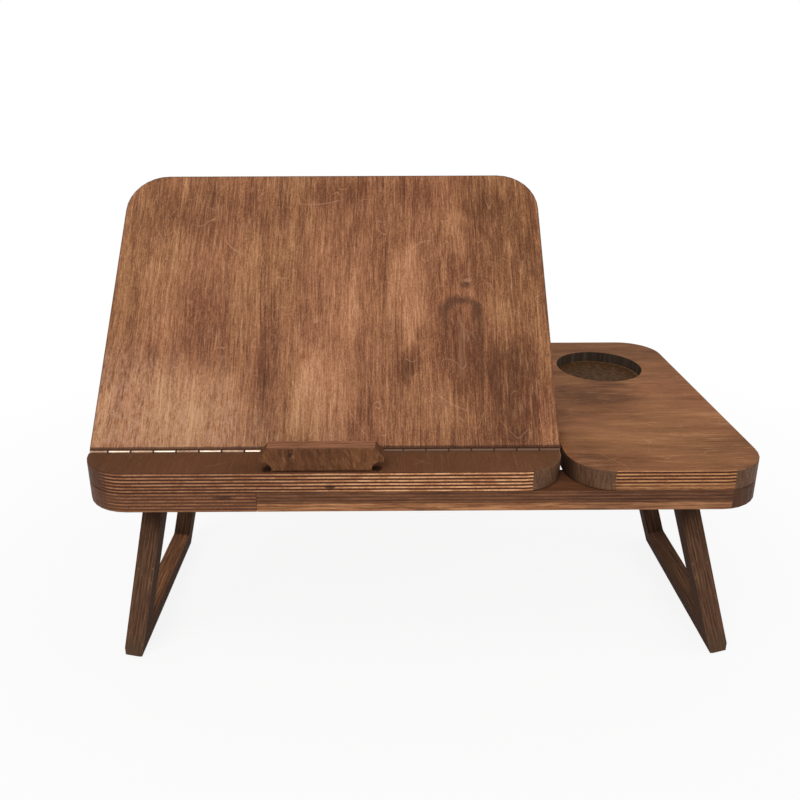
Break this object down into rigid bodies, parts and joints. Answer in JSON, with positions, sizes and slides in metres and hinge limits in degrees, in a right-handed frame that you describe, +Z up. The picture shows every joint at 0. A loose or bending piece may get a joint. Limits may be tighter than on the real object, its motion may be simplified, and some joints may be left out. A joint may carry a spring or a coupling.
{
  "type": "laptop table",
  "caption": "Folding plywood laptop table with a tilting laptop panel, front lip, side panel with a round cup recess, and splayed frame legs that fold flat.",
  "frame": {"origin": "on the floor, at the middle of the whole object's width and depth", "axes": "+Z up, -Y towards the sitter, +X towards the side panel with the cup recess"},
  "size_m": [0.6, 0.323, 0.4542],
  "materials": {
    "stained_plywood": "satin brown stain on birch plywood",
    "dark_stained_plywood": "satin dark brown stain on birch plywood",
    "beech_dowel": "plain",
    "hinge_brass": "rolled, satin",
    "zinc_steel": "zinc plated"
  },
  "bodies": {
    "table": {"base_left_board": "dark_stained_plywood", "base_right_board": "dark_stained_plywood", "base_dowel_1": "beech_dowel", "base_dowel_2": "beech_dowel", "front_bar": "dark_stained_plywood", "side_panel": "stained_plywood", "layer_screw_1": "zinc_steel", "layer_screw_2": "zinc_steel", "layer_screw_3": "zinc_steel", "layer_screw_4": "zinc_steel", "layer_screw_5": "zinc_steel", "layer_screw_6": "zinc_steel", "lip_stop": "dark_stained_plywood", "lip_dowel_1": "beech_dowel", "lip_dowel_2": "beech_dowel", "panel_hinge_bar_leaf": "hinge_brass", "panel_hinge_pin": "zinc_steel", "panel_hinge_bar_screw_1": "zinc_steel", "panel_hinge_bar_screw_2": "zinc_steel", "panel_hinge_bar_screw_3": "zinc_steel", "panel_hinge_bar_screw_4": "zinc_steel", "panel_hinge_bar_screw_5": "zinc_steel", "rack_left": "dark_stained_plywood", "rack_right": "dark_stained_plywood", "left_leg_base_leaf": "hinge_brass", "left_leg_pin": "zinc_steel", "left_leg_base_screw_1": "zinc_steel", "left_leg_base_screw_2": "zinc_steel", "right_leg_base_leaf": "hinge_brass", "right_leg_pin": "zinc_steel", "right_leg_base_screw_1": "zinc_steel", "right_leg_base_screw_2": "zinc_steel"},
    "laptop_panel": {"laptop_panel": "stained_plywood", "panel_hinge_panel_leaf": "hinge_brass", "panel_hinge_panel_screw_1": "zinc_steel", "panel_hinge_panel_screw_2": "zinc_steel", "panel_hinge_panel_screw_3": "zinc_steel", "panel_hinge_panel_screw_4": "zinc_steel", "panel_hinge_panel_screw_5": "zinc_steel", "prop_hinge_panel_leaf": "hinge_brass", "prop_hinge_pin": "zinc_steel", "prop_hinge_panel_screw_1": "zinc_steel", "prop_hinge_panel_screw_2": "zinc_steel"},
    "prop": {"prop_board": "stained_plywood", "prop_hinge_prop_leaf": "hinge_brass", "prop_hinge_prop_screw_1": "zinc_steel", "prop_hinge_prop_screw_2": "zinc_steel"},
    "left_leg": {"left_leg_frame": "dark_stained_plywood", "left_leg_leaf": "hinge_brass", "left_leg_leaf_screw_1": "zinc_steel", "left_leg_leaf_screw_2": "zinc_steel"},
    "right_leg": {"right_leg_frame": "dark_stained_plywood", "right_leg_leaf": "hinge_brass", "right_leg_leaf_screw_1": "zinc_steel", "right_leg_leaf_screw_2": "zinc_steel"}
  },
  "joints": [
    {"name": "panel_hinge", "type": "hinge", "parent": "table", "child": "laptop_panel", "pos_m": [-0.09153, -0.1225, 0.2403], "axis": [1, 0, 0], "range_deg": [-49, 0]},
    {"name": "prop_hinge", "type": "hinge", "parent": "laptop_panel", "child": "prop", "pos_m": [-0.01638, -0.04203, 0.30285], "axis": [1, 0, 0], "range_deg": [0, 85.55]},
    {"name": "left_leg_fold", "type": "hinge", "parent": "table", "child": "left_leg", "pos_m": [-0.23743, 0, 0.2023], "axis": [0, -1, 0], "range_deg": [0, 102.5]},
    {"name": "right_leg_fold", "type": "hinge", "parent": "table", "child": "right_leg", "pos_m": [0.22197, 0, 0.2023], "axis": [0, 1, 0], "range_deg": [0, 106.8]}
  ],
  "couplings": [
    {"joint": "prop_hinge", "follows": "panel_hinge", "ratio": -1.7458}
  ]
}
